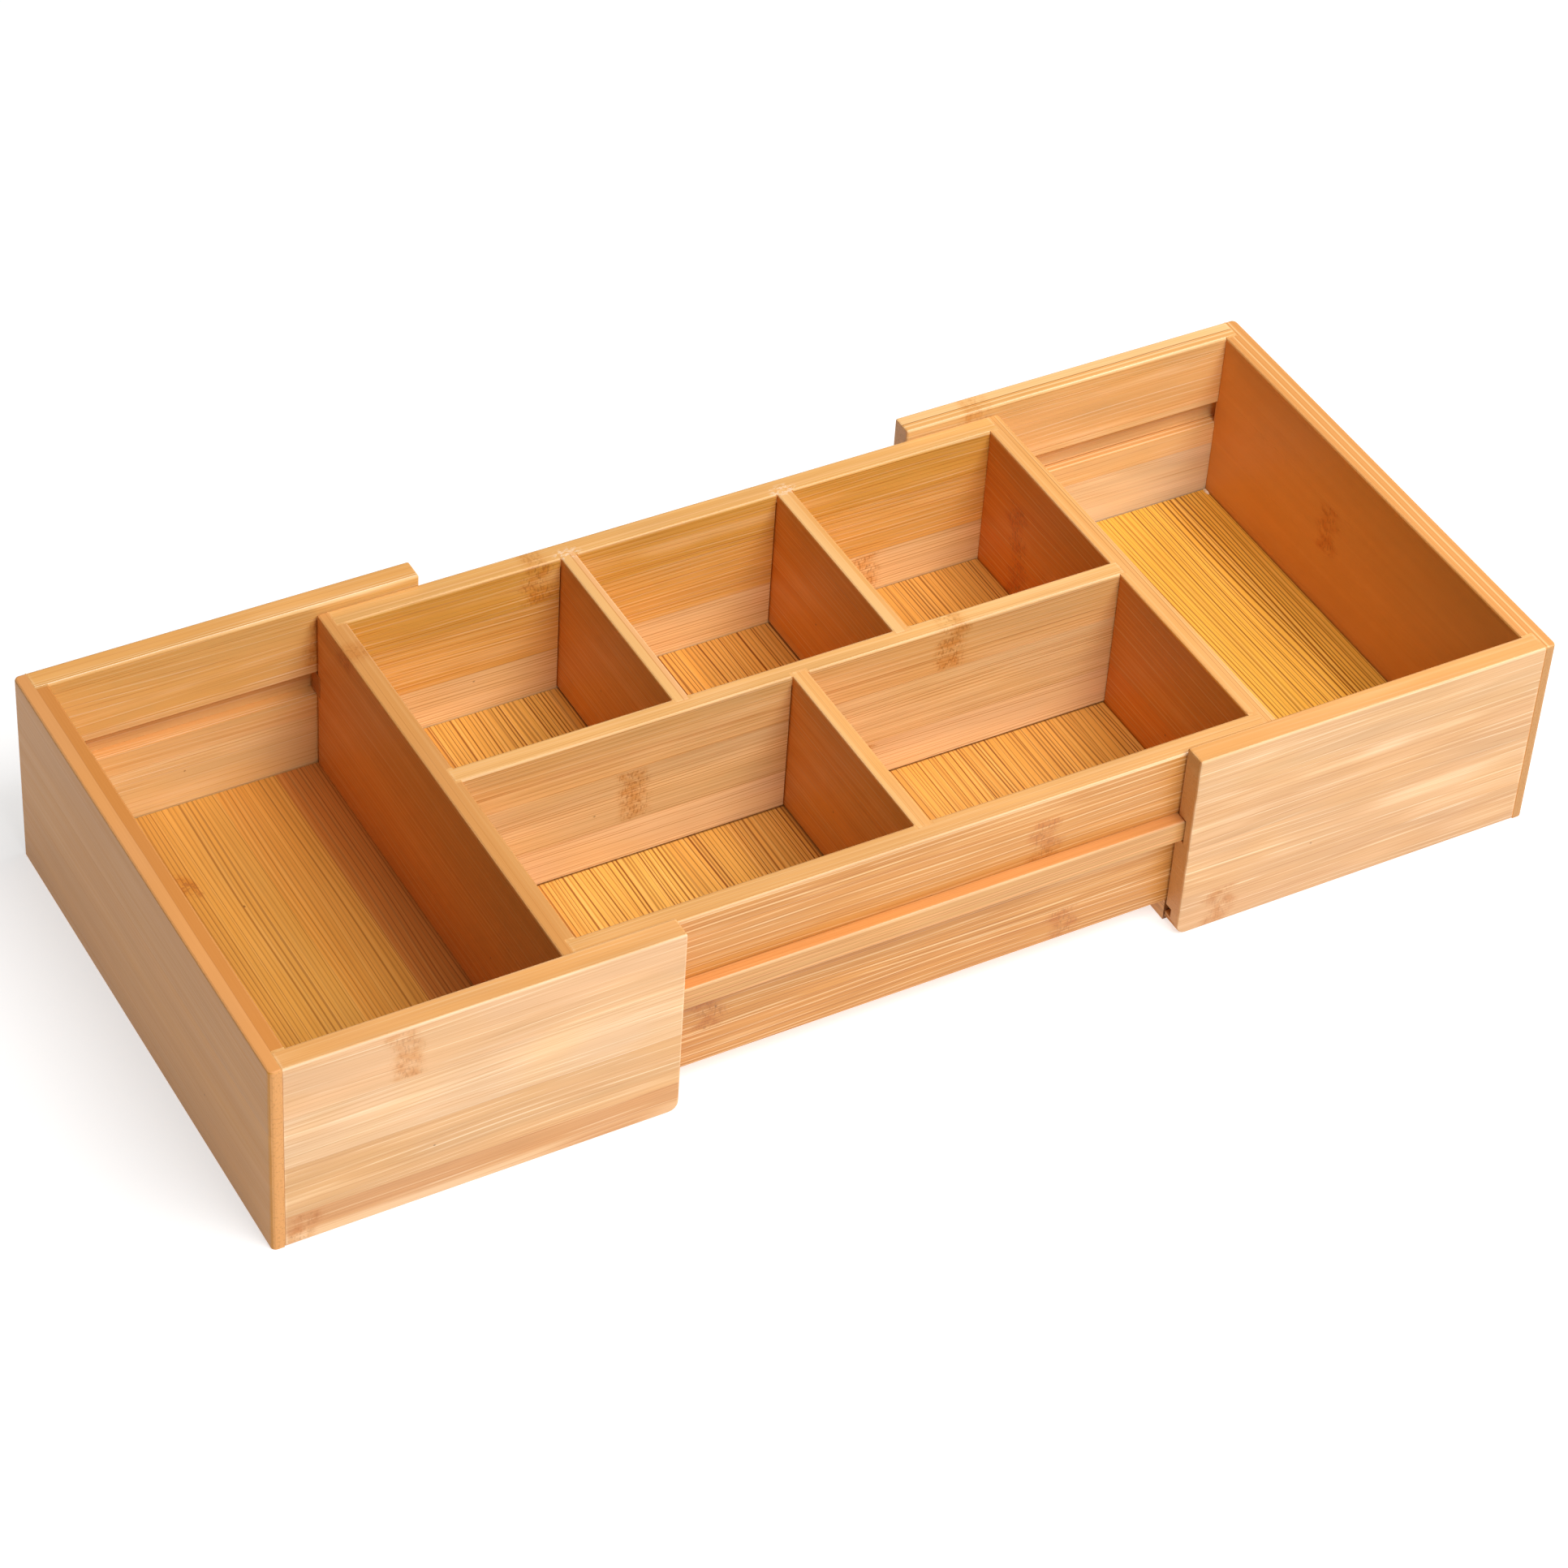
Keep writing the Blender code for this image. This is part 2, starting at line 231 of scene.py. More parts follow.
# grain: the axis its fibres run along. side_by_side: the axis its strips lie side by side on. width, first: a
# strip's width and where the first one ends, in mm from the board's low side. strips: the strips' colours from the
# low side up, the last one for all further strips. contrast: how strongly its fibres show. knots: each as (share
# of the board's length, strip number).
HONEY, ORANGE = "E69A44", "E8983C"
Board = namedtuple("Board", "slot grain side_by_side width first strips contrast seed knots")
BOARDS = {
    "left_front_wall": Board(
        "bamboo_pale", "X", "Z", 18.0, 10.5,
        ("D49A62", "DAA872", "E6BA8C", "E4B484", "E0B07E"), 1.0, 1.0, [(0.3, 3), (0.05, 0)],
    ),
    "left_back_wall": Board(
        "bamboo_pale", "X", "Z", 18.0, 25.0, ("EFC98C", "EDC080", "EAB86E", "EAB86E"), 1.0, 2.0, [(0.74, 2)],
    ),
    "left_end_wall": Board(
        "bamboo_end", "Y", "Z", 18.0, 6.0, ("CE8A2E", "D08C32", "D08C30", "CE8A2E"), 0.5, 3.0, [],
    ),
    "left_base": Board(
        "bamboo_floor", "Y", "X", 19.0, 12.0,
        ("CE9040", "D49844", "DA9E48", "DC9A44", "CA7E38"), 0.62, 4.0, [(0.78, 1)],
    ),
    "right_front_wall": Board(
        "bamboo_pale", "X", "Z", 18.0, 14.0, ("D8A674", "DCAA76", "D8A672", "DEAE7A"), 1.0, 5.0, [(0.12, 0)],
    ),
    "right_back_wall": Board(
        "bamboo_pale", "X", "Z", 18.0, 25.0, ("E8D0A8", "EBC68C", "EABC7C", "EABC7C"), 1.0, 6.0, [(0.21, 3)],
    ),
    "right_end_wall": Board(
        "bamboo_end", "Y", "Z", 18.0, 9.0, ("E09A4A", "E29C4A", "E09A4A", "E09A4A"), 0.45, 7.0, [(0.59, 2)],
    ),
    "right_base": Board(
        "bamboo_floor", "Y", "X", 19.0, 5.0,
        ("D08E36", "D2923A", "D6983C", "EEB044", "EEB246"), 1.0, 8.0, [],
    ),
    "center_front_wall": Board(
        "bamboo_golden", "X", "Z", 18.5, 11.0,
        ("D08E44", "D29145", "D6954C", "D29146"), 1.0, 9.0, [(0.67, 2), (0.71, 0), (0.19, 1)],
    ),
    "center_back_wall": Board(
        "bamboo_golden", "X", "Z", 18.5, 22.0,
        ("F0C88E", "E9B05C", "E6AC50", "E8AE56"), 1.0, 10.0, [(0.29, 2), (0.8, 0)],
    ),
    "center_left_wall": Board(
        "bamboo_golden", "Y", "Z", 18.5, 12.0, ("E0964A", "E0964A", "E0964C"), 0.45, 11.0, [(0.88, 3)],
    ),
    "center_right_wall": Board(
        "bamboo_golden", "Y", "Z", 18.5, 4.0, ("E48926", "E48926", "E28B2A"), 0.5, 12.0, [(0.82, 1), (0.83, 2)],
    ),
    "long_divider": Board(
        "bamboo_golden", "X", "Z", 19.0, 13.0,
        ("F0CA98", "EFC88E", "ECBC7A", "ECB872"), 1.0, 13.0, [(0.26, 1), (0.73, 2), (0.6, 0)],
    ),
    "back_divider_left": Board(
        "bamboo_golden", "Y", "Z", 19.0, 8.0, (ORANGE, HONEY), 0.5, 14.0, [],
    ),
    "back_divider_right": Board(
        "bamboo_golden", "Y", "Z", 19.0, 3.0, (HONEY, ORANGE), 0.5, 15.0, [],
    ),
    "front_divider": Board(
        "bamboo_golden", "Y", "Z", 19.0, 13.0, (HONEY, ORANGE), 0.5, 16.0, [],
    ),
    "center_base": Board(
        "bamboo_floor", "Y", "X", 19.0, 9.0,
        ("DC9844", "DE9C46", "E4A84E", "E6AC50", "E4A64C", "DE9E48"), 1.0, 17.0, [],
    ),
    "front_guide_rail": Board(
        "bamboo_rail", "X", "Z", 19.0, 30.0, ("D59D5B",), 1.0, 18.0, [(0.77, 0)],
    ),
    "back_guide_rail": Board(
        "bamboo_rail", "X", "Z", 19.0, 30.0, ("D59D5B",), 1.0, 19.0, [],
    ),
}

# Lines along a board's top: from and to (mm across its thickness from the low side), colour, strength.
TOP_PLIES = {
    "left_end_wall": [(3.9, 9.0, "CC8036", 0.7), (3.75, 3.95, "A8642A", 0.4)],
    "left_back_wall": [
        (0.45, 0.7, "FFE9C6", 0.65), (0.95, 1.1, "B9783C", 0.4), (1.3, 1.5, "FBDDAE", 0.6),
        (1.7, 1.85, "B9783C", 0.4), (4.3, 4.5, "C88A4A", 0.4),
    ],
    "left_front_wall": [(2.3, 2.5, "CE8C48", 0.35), (4.9, 5.1, "F2C48C", 0.35)],
    "right_back_wall": [
        (0.25, 0.75, "FBDDAE", 0.65), (1.3, 1.45, "B9783C", 0.5), (2.0, 2.6, "F6D4A0", 0.6),
        (2.65, 2.8, "B07038", 0.5), (3.3, 3.55, "8A5226", 0.8), (3.65, 7.2, "F4CE98", 0.45),
        (5.4, 5.55, "D09858", 0.4),
    ],
    "right_end_wall": [
        (0.0, 9.0, "CE8E4A", 0.55), (1.2, 1.4, "C47E40", 0.45), (2.2, 2.6, "FBD09A", 0.5), (2.9, 3.1, "B9763A", 0.5),
        (4.3, 4.5, "C07C3E", 0.45), (4.6, 5.2, "F8CC96", 0.5), (6.0, 6.2, "B9783C", 0.35),
    ],
    "right_front_wall": [(0.0, 8.0, "D8944E", 0.35), (2.6, 2.8, "D29450", 0.4), (4.6, 5.2, "F4C890", 0.15)],
    "center_right_wall": [
        (1.6, 2.2, "F0BC7E", 0.4), (3.6, 3.8, "B06E34", 0.6), (4.7, 4.9, "A8662E", 0.65), (5.0, 5.4, "F2BE82", 0.45),
    ],
    "center_left_wall": [(0.0, 7.0, "CC8844", 0.6), (2.4, 2.6, "B87636", 0.4), (4.2, 4.8, "F2BE80", 0.15)],
    "center_front_wall": [(1.9, 2.1, "CC8E4E", 0.35), (3.9, 4.4, "F0BE84", 0.35)],
    "center_back_wall": [(2.2, 2.7, "F2BE88", 0.4), (4.6, 4.75, "C88C50", 0.35)],
    "back_divider_left": [(0.3, 2.8, "EFC080", 0.4), (3.0, 3.2, "B87438", 0.6), (3.2, 5.0, "F0B684", 0.45)],
    "back_divider_right": [(0.3, 3.2, "F0C488", 0.5), (3.9, 4.1, "C8904C", 0.35)],
    "front_divider": [(0.3, 1.8, "EFBC7C", 0.4), (2.4, 2.6, "C08040", 0.4)],
    "long_divider": [(1.6, 1.8, "C88A48", 0.35), (3.2, 3.8, "F2C088", 0.35)],
}

# The walls whose faces meet each floor board, along which painted crease shade runs, the axis across them, and which
# half of Y they stand in (0 for both).
FLOOR_MEETS = {
    "left_base": [("left_end_wall", "X", 0), ("left_front_wall", "Y", 0), ("left_back_wall", "Y", 0)],
    "right_base": [("right_end_wall", "X", 0), ("right_front_wall", "Y", 0), ("right_back_wall", "Y", 0)],
    "center_base": [
        ("center_left_wall", "X", 0), ("center_right_wall", "X", 0), ("center_front_wall", "Y", 0),
        ("center_back_wall", "Y", 0), ("long_divider", "Y", 0), ("back_divider_left", "X", 1),
        ("back_divider_right", "X", 1), ("front_divider", "X", -1),
    ],
}
# End grain that differs from its slot's.
END_COLOURS = {"right_end_wall": "BC8A54", "right_front_wall": "C8863E"}
# How strongly a painted highlight lightens the outer top edge of a board.
TOP_HIGHLIGHT_STRENGTH = {"left_front_wall": 1.2, "right_front_wall": 0.6, "center_front_wall": 0.6, "left_back_wall": 0.15}
USUAL_TOP_HIGHLIGHT = 0.35

RAMP_PLACES = 12  # the most strips that a board's colours can tell apart

# The layers' lengths, in mm, and their colours.
FACING = (0.6, 0.9)  # how squarely a face looks along an axis before it counts as facing that way
STRIP_SLANT = 0.008  # sideways per mm along a strip, at most
STRIP_SHIFT = {"along": 53.1, "across": 37.3, "depth": 11.9}  # from one strip's fibres to the next one's
BROAD_LENGTH, BROAD_THICK = 160.0, 6.5
CLOUD_LENGTH, CLOUD_THICK = 38.0, 8.0
FINE_LENGTH = 90.0
LANE_WANDER = 0.9  # lanes
MID_LANE = (0.22, 0.56)  # where in its lane a line may lie: from, and how much further
PLY_SOFT = 0.08
PLY_DRIFT = 0.25
SEAM_HALF = (0.22, 0.04)  # where a soft line begins and where it is full; so too WEAR_AND_SHEEN_REACH and CREASE_SHADE_HALF
KNOT_HALF = 3.6
KNOT_SPECK = "A8692C"
KNOT_TINT = (0.86, 0.68, 0.46, 1.0)
WARM_TINT = (1.00, 0.965, 0.84, 1.0)
PORE = "6E3E16"
END_DOT = "A0662E"
# Pale edges: partly sanded wear and partly a painted highlight along the rounded edges.
WEAR_AND_SHEEN_WOOD = "FBDDB0"
WEAR_AND_SHEEN_REACH = (0.9, 0.1)
# The colour of the painted highlight on the boards' front top edges.
TOP_HIGHLIGHT_COLOUR = "FFE2BE"
SMEAR_IN = 1.5  # from the wall's face to a smear's middle
SMEAR_REACH = 5.5
SMEAR_COLOUR = "F6DCC0"
# Painted shade in the creases where the floors meet the walls: its half width (mm) and colour.
CREASE_SHADE_HALF = (0.50, 0.22)
CREASE_SHADE_COLOUR = "6A3A14"
BUMP_DEPTH = 0.00005  # metres


def mm_box(node):
    low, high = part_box(node)
    return low * TO_MM, high * TO_MM


def smear_spots():
    """Where dried glue shows on the centre back wall's top: at the ends of both back dividers (mm)."""
    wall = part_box("center_back_wall")[0].y * TO_MM
    for cross in ("back_divider_left", "back_divider_right"):
        low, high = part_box(cross)
        yield ((low.x + high.x) / 2 * TO_MM, wall + SMEAR_IN)


def smeared(g, place, up, colour):
    """Adds the dried glue smears to a colour. place is the split position in metres, up the upward normal."""
    for x, y in smear_spots():
        from_x = g.math("MULTIPLY_ADD", place[0], TO_MM, -x)
        from_y = g.times(g.math("MULTIPLY_ADD", place[1], TO_MM, -y), 1.6)
        off = g.math("SQRT", g.add(g.times(from_x, from_x), g.times(from_y, from_y)))
        mottled = g.noise(g.vector(g.times(from_x, 0.9), g.times(from_y, 0.7), x), 2.0)
        near = g.step(off, SMEAR_REACH, SMEAR_REACH * 0.4)
        mask = g.times(near, g.step(mottled, 0.46, 0.60), g.step(up, 0.5, 0.9))
        colour = g.mix(g.times(mask, 0.60), colour, rgb(SMEAR_COLOUR))
    return colour


class Bamboo(Graph):
    """The lacquered bamboo of one board. Its places are in mm from the board's low corner."""

    def __init__(self, name):
        super().__init__(name + "_bamboo")
        board = BOARDS[name]
        self.name, self.board, self.look = name, board, LOOKS[board.slot]
        self.low, high = mm_box(name)
        self.size = {letter: high[i] - self.low[i] for i, letter in enumerate("XYZ")}

        where = self.node("ShaderNodeTexCoord")
        self.place = self.split(where.outputs["Object"])
        facing = self.split(where.outputs["Normal"])
        self.axes = {
            letter: self.math("MULTIPLY_ADD", self.place[i], TO_MM, -self.low[i]) for i, letter in enumerate("XYZ")
        }
        self.normal = {letter: self.math("ABSOLUTE", facing[i]) for i, letter in enumerate("XYZ")}
        thick = next(letter for letter in "XYZ" if letter not in (board.grain, board.side_by_side))
        self.along, self.across, self.depth = self.axes[board.grain], self.axes[board.side_by_side], self.axes[thick]
        self.edge_grain = self.step(self.normal[board.side_by_side], *FACING)
        self.end_grain = self.step(self.normal[board.grain], *FACING)
        self.face = self.subtract(1.0, self.edge_grain)

        # Each strip has its own tone, slant and fibre density.
        strip_place = self.math("MULTIPLY_ADD", self.across, 1 / board.width, 1 - board.first / board.width)
        self.strip = self.math("FLOOR", strip_place)
        in_strip = self.math("FRACT", strip_place)
        self.tone, slant, self.density = self.chance(self.strip, board.seed)
        from_middle = self.subtract(self.along, self.size[board.grain] / 2)
        self.slanted = self.add(self.across, self.times(from_middle, self.around(slant, STRIP_SLANT)))

        # The noises that the layers share.
        self.fine = self.fibres(FINE_LENGTH, self.look["thick"], 3.0)
        self.broad = self.fibres(BROAD_LENGTH, BROAD_THICK, 29.0)
        self.cloud = self.fibres(CLOUD_LENGTH, CLOUD_THICK, 41.0)
        near_seam = self.math("MINIMUM", in_strip, self.subtract(1.0, in_strip))
        self.seam = self.step(near_seam, *(half / board.width for half in SEAM_HALF))

    def fibres(self, length, thickness, shift):
        """Noise drawn out along the grain. Another shift gives other fibres."""
        own_along = self.math("MULTIPLY_ADD", self.strip, STRIP_SHIFT["along"], self.along)
        own_across = self.math("MULTIPLY_ADD", self.strip, STRIP_SHIFT["across"], self.slanted)
        own_depth = self.math("MULTIPLY_ADD", self.strip, STRIP_SHIFT["depth"], self.depth)
        drawn_out = self.vector(
            self.math("MULTIPLY_ADD", own_along, 1 / length, shift + self.board.seed),
            self.math("MULTIPLY_ADD", own_across, 1 / thickness, shift),
            self.math("MULTIPLY_ADD", own_depth, 1 / thickness, shift),
        )
        return self.noise(drawn_out, 1.0)

    def lines(self, spacing, half_width, shift):
        """Long broken lines, one in each lane along the grain. On the edges the lanes lie across the depth."""
        seed = self.board.seed
        lane_run = self.add(self.times(self.slanted, self.face), self.times(self.depth, self.edge_grain))
        own_along = self.math("MULTIPLY_ADD", self.strip, STRIP_SHIFT["along"], self.along)
        slow = self.noise(self.vector(self.times(own_along, 0.012), self.times(self.across, 0.10), seed), 0.0)
        wander = self.around(slow, LANE_WANDER)
        lane_place = self.math("MULTIPLY_ADD", lane_run, 1 / spacing, self.add(wander, shift + 60.0))
        lane = self.math("FLOOR", lane_place)
        where, wide, strong = self.chance(lane, seed + shift)
        centre = self.math("MULTIPLY_ADD", where, MID_LANE[1], MID_LANE[0])
        off = self.math("ABSOLUTE", self.subtract(self.math("FRACT", lane_place), centre))
        reach = self.math("MULTIPLY_ADD", wide, half_width / spacing, 0.5 * half_width / spacing)
        line = self.step(off, reach, self.times(reach, 0.55))
        parts = self.noise(self.vector(self.times(self.along, 0.030), self.times(lane, 7.7), seed + shift), 1.0)
        kept = self.step(parts, self.look["broken"], self.look["broken"] + 0.2)
        return self.times(line, kept, self.math("MULTIPLY_ADD", strong, 0.60, 0.40))

    def stretched(self, along, across, depth):
        """The place in the board, with each direction multiplied by its own number."""
        pairs = ((self.along, along), (self.across, across), (self.depth, depth))
        return self.vector(*(self.times(place, amount) for place, amount in pairs))

    def tinted(self, strength, colour, tint):
        """The colour multiplied by the tint, as much as strength says."""
        return self.mix(strength, colour, self.mix(1.0, colour, tint, "MULTIPLY"))

    def grain(self):
        """The strips' colours with their soft fibres, dark lines, pale lines and pale streaks."""
        board, look = self.board, self.look
        space, half = look["line_space"], look["line_half"]
        threshold = self.math("MULTIPLY_ADD", self.density, 0.07, 0.485)
        fibre = self.step(self.fine, threshold, self.add(threshold, 0.13))
        soft = self.times(fibre, self.step(self.broad, 0.22, 0.52), look["fibres"])
        dark_lines = self.times(self.lines(space, half, 0.0), look["lines"])
        pale_lines = self.times(self.lines(1.7 * space, 1.5 * half, 5.0), look["pale_lines"])
        streaks = self.times(self.step(self.broad, 0.52, 0.70), self.step(self.cloud, 0.36, 0.62), look["glow"])
        shown = self.times(self.math("MULTIPLY_ADD", self.face, 0.55, 0.45), board.contrast)
        colour = self.bands(self.strip, board.strips)
        colour = self.mix(self.times(self.edge_grain, look["rim_share"]), colour, rgb(look["rim"]))
        light = self.times(self.math("MAXIMUM", streaks, pale_lines), shown)
        colour = self.mix(light, colour, rgb(look["light"]))
        dark = self.times(self.math("MAXIMUM", soft, dark_lines), shown)
        colour = self.tinted(dark, colour, (*look["dark"], 1.0))

        wave = 0.12 * board.contrast
        waves = self.add(self.around(self.broad, wave), self.around(self.cloud, wave))
        lift = self.add(self.around(self.tone, 0.03), waves)
        colour = self.mix(1.0, colour, self.grey(self.add(lift, 1.0)), "MULTIPLY")
        slow = self.noise(self.vector(self.times(self.along, 0.03), self.times(self.across, 0.07), board.seed), 1.0)
        return self.tinted(self.times(self.step(slow, 0.40, 0.65), 0.55), colour, WARM_TINT)

    def plies(self, colour):
        """Thin lines that run along the board's top edge."""
        for start, stop, code, strength in TOP_PLIES.get(self.name, ()):
            drift = self.add(self.around(self.cloud, PLY_DRIFT), self.depth)
            begun = self.step(drift, start - PLY_SOFT, start + PLY_SOFT)
            ply = self.times(begun, self.step(drift, stop + PLY_SOFT, stop - PLY_SOFT))
            kept = self.step(self.broad, 0.15, 0.45)
            colour = self.mix(self.times(ply, self.edge_grain, kept, strength), colour, rgb(code))
        return colour

    def glued_seams(self, colour):
        """The glue lines between strips."""
        return self.tinted(self.times(self.seam, 0.35 * self.board.contrast), colour, (*self.look["dark"], 1.0))

    def knots(self, colour):
        """Growth knots: each a short mottled band across one strip."""
        board = self.board
        if not board.knots:
            return colour
        found = None
        ragged_at = self.vector(self.times(self.across, 1.3), self.times(self.along, 0.2), board.seed)
        ragged = self.around(self.noise(ragged_at, 1.0), 2.2)
        for share, number in board.knots:
            sway_at = self.vector(self.times(self.across, 0.22), board.seed, number + 0.5)
            sway = self.around(self.noise(sway_at, 0.0), 4.0)
            from_knot = self.subtract(self.along, share * self.size[board.grain])
            reach = self.math("ABSOLUTE", self.add(from_knot, self.add(sway, ragged)))
            band = self.step(reach, KNOT_HALF + 2.6, KNOT_HALF - 2.0)
            middle_of_strip = board.first + (number - 0.5) * board.width
            spread = self.math("ABSOLUTE", self.subtract(self.across, middle_of_strip))
            here = self.step(self.add(spread, self.times(ragged, 0.3)), board.width / 2, board.width / 2 - 1.2)
            mask = self.times(band, here)
            found = mask if found is None else self.math("MAXIMUM", found, mask)
        speck_at = self.stretched(1.3, 0.55, 0.9)
        speck = self.step(self.noise(speck_at, 1.0, 0.7), 0.50, 0.64)
        patch_at = self.vector(self.times(self.along, 0.25), self.times(self.across, 0.30), board.seed)
        patch = self.step(self.noise(patch_at, 1.0), 0.2, 0.7)
        found = self.times(found, self.math("MULTIPLY_ADD", self.edge_grain, -0.35, 1.0))
        colour = self.tinted(self.times(found, patch), colour, KNOT_TINT)
        return self.mix(self.times(found, speck, self.look["speck"]), colour, rgb(KNOT_SPECK))

    def pores(self, colour):
        """A few dark pores."""
        cells = self.node("ShaderNodeTexVoronoi")
        self.feed(cells.inputs["Vector"], self.stretched(0.045, 0.06, 0.06))
        cells.inputs["Scale"].default_value = 1.0
        pore = self.step(cells.outputs["Distance"], 0.030, 0.014)
        return self.mix(self.times(pore, 0.7), colour, rgb(PORE))

    def ends(self, colour):
        """End grain, where the cut ends of the fibre bundles show as a fine stipple."""
        code = END_COLOURS.get(self.name, self.look["end"])
        dots_at = self.vector(self.times(self.across, 1.3), self.times(self.depth, 1.3), self.board.seed)
        dots = self.step(self.noise(dots_at, 1.0), 0.5, 0.7)
        stippled = self.mix(self.times(dots, 0.30), rgb(code), rgb(END_DOT))
        return self.mix(self.times(self.end_grain, 0.85), colour, stippled)

    def worn_and_sheen_edges(self, colour):
        """Paler edges, partly sanded wear and partly a painted highlight on the rounded edges: where a point is near
        the board's outside in two directions.
        """
        gaps = [self.math("MINIMUM", self.axes[k], self.subtract(self.size[k], self.axes[k])) for k in "XYZ"]
        nearer = self.math("MINIMUM", gaps[0], gaps[1])
        further = self.math("MAXIMUM", gaps[0], gaps[1])
        second = self.math("MAXIMUM", nearer, self.math("MINIMUM", further, gaps[2]))
        strength = self.times(self.step(second, *WEAR_AND_SHEEN_REACH), self.step(self.broad, 0.35, 0.65), self.look["wear_and_sheen"])
        return self.mix(strength, colour, rgb(WEAR_AND_SHEEN_WOOD))

    def painted_top_highlight(self, colour):
        """Painted highlight: paler colour on the front top edge of the boards that run along X, where light catches the
        rounded edge.
        """
        if self.board.grain != "X":
            return colour
        near_top = self.step(self.axes["Z"], self.size["Z"] - 0.9, self.size["Z"] - 0.3)
        uneven = self.math("MULTIPLY_ADD", self.cloud, 0.8, 0.1)
        strength = TOP_HIGHLIGHT_STRENGTH.get(self.name, USUAL_TOP_HIGHLIGHT)
        painted_highlight = self.times(near_top, self.step(self.axes["Y"], 0.75, 0.15), uneven, strength)
        return self.mix(painted_highlight, colour, rgb(TOP_HIGHLIGHT_COLOUR))

    def smears(self, colour):
        return smeared(self, self.place, self.normal["Z"], colour)

    def painted_crease_shade(self, colour):
        """Painted shade: dark lines on a floor board along the faces of the walls that stand over it, where shade falls
        in the crease.
        """
        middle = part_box("long_divider")[0].y * TO_MM - self.low.y
        for wall, letter, half in FLOOR_MEETS.get(self.name, ()):
            i = "XYZ".index(letter)
            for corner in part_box(wall):
                off = self.math("ABSOLUTE", self.subtract(self.axes[letter], corner[i] * TO_MM - self.low[i]))
                line = self.step(off, *CREASE_SHADE_HALF)
                if half:
                    line = self.times(line, self.step(self.axes["Y"], middle - 0.5 * half, middle + 0.5 * half))
                colour = self.mix(self.times(line, 0.75), colour, rgb(CREASE_SHADE_COLOUR))
        return colour

    def finished(self):
        colour = self.grain()
        for layer in (
            self.plies, self.glued_seams, self.knots, self.pores, self.ends,
            self.worn_and_sheen_edges, self.painted_top_highlight, self.smears, self.painted_crease_shade,
        ):
            colour = layer(colour)
        roughness = self.math("MULTIPLY_ADD", self.fine, 0.26, 0.27)
        roughness = self.math("MULTIPLY_ADD", self.end_grain, 0.15, roughness)
        height = self.math("MULTIPLY_ADD", self.seam, -0.6, self.fine)
        return self.surface(colour, roughness, height, BUMP_DEPTH, gloss=self.look["gloss"])


for board_name, board_row in BOARDS.items():
    board_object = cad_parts[board_name]
    board_object.data.materials.clear()
    board_object.data.materials.append(Bamboo(board_name).finished())


# ---------------------------------------------------------------- glue in the joints

# All in mm.
GAP = 0.3  # between two boards at a joint
OVER_ROUND = 0.62  # of a rounded edge beside the joint that the glue covers too
GLUE_BELOW = 0.02  # from the boards' tops down to the glue
GLUE_BEHIND = 0.12  # from a board's face back to the glue
GLUE_OVER_END = 0.15  # that the glue of a corner goes into the end wall's rebate
GLUE_FOOT = 0.6  # from a wall's bottom up to the glue of its corners
HOUSING_DEEP = 2.0  # that a divider goes into its neighbour
HOUSING_GLUE_DOWN = 3.0  # from a divider's top down to the end of the glue in its housing
GLUE_STEP = 0.8  # between two cuts across a line of glue
GLUE_DIP = 0.03  # that the glue's top sinks between them, at most


def new_object(name, mesh, material):
    """Makes an object from a bmesh, which it frees."""
    data = bpy.data.meshes.new(name)
    mesh.to_mesh(data)
    mesh.free()
    data.materials.append(material)
    made = bpy.data.objects.new(name, data)
    bpy.context.scene.collection.objects.link(made)
    return made


def glue_material():
    g = Graph("dried_glue_line")
    place = g.node("ShaderNodeTexCoord")
    spot = g.split(place.outputs["Object"])
    grain = g.noise(g.vector(*(g.times(out, 900.0) for out in spot)), 2.0)
    colour = g.mix(g.step(grain, 0.3, 0.7), rgb("DC9F5C"), rgb("E6AE6C"))
    colour = smeared(g, spot, g.split(place.outputs["Normal"])[2], colour)
    return g.surface(colour, g.math("MULTIPLY_ADD", grain, 0.3, 0.3), grain, 0.00003)


GLUE = glue_material()


def glue_line(name, body, runs, top, bottom):
    """Dried glue that fills a joint: runs are (x, x, y, y) boxes in mm seen from above, worked over a little on top."""
    draw = random.Random(name)
    mesh = bmesh.new()
    for x0, x1, y0, y1 in runs:
        x0, x1 = sorted((x0, x1))
        y0, y1 = sorted((y0, y1))
        count = max(2, round(max(x1 - x0, y1 - y0) / GLUE_STEP))
        by_x = x1 - x0 >= y1 - y0
        rings = []
        for i in range(count + 1):
            t = i / count
            dip = draw.uniform(0.0, GLUE_DIP)
            if by_x:
                x = x0 + (x1 - x0) * t
                corners = [(x, y0, bottom), (x, y1, bottom), (x, y1, top - dip), (x, y0, top - dip)]
            else:
                y = y0 + (y1 - y0) * t
                corners = [(x0, y, bottom), (x1, y, bottom), (x1, y, top - dip), (x0, y, top - dip)]
            rings.append([mesh.verts.new(Vector(corner) * MM) for corner in corners])
        for a, b in zip(rings, rings[1:]):
            for k in range(4):
                mesh.faces.new((a[k], a[(k + 1) % 4], b[(k + 1) % 4], b[k]))
        mesh.faces.new(rings[0])
        mesh.faces.new(rings[-1])
    bmesh.ops.recalc_face_normals(mesh, faces=mesh.faces)
    piece = new_object(name, mesh, GLUE)
    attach(piece, body)


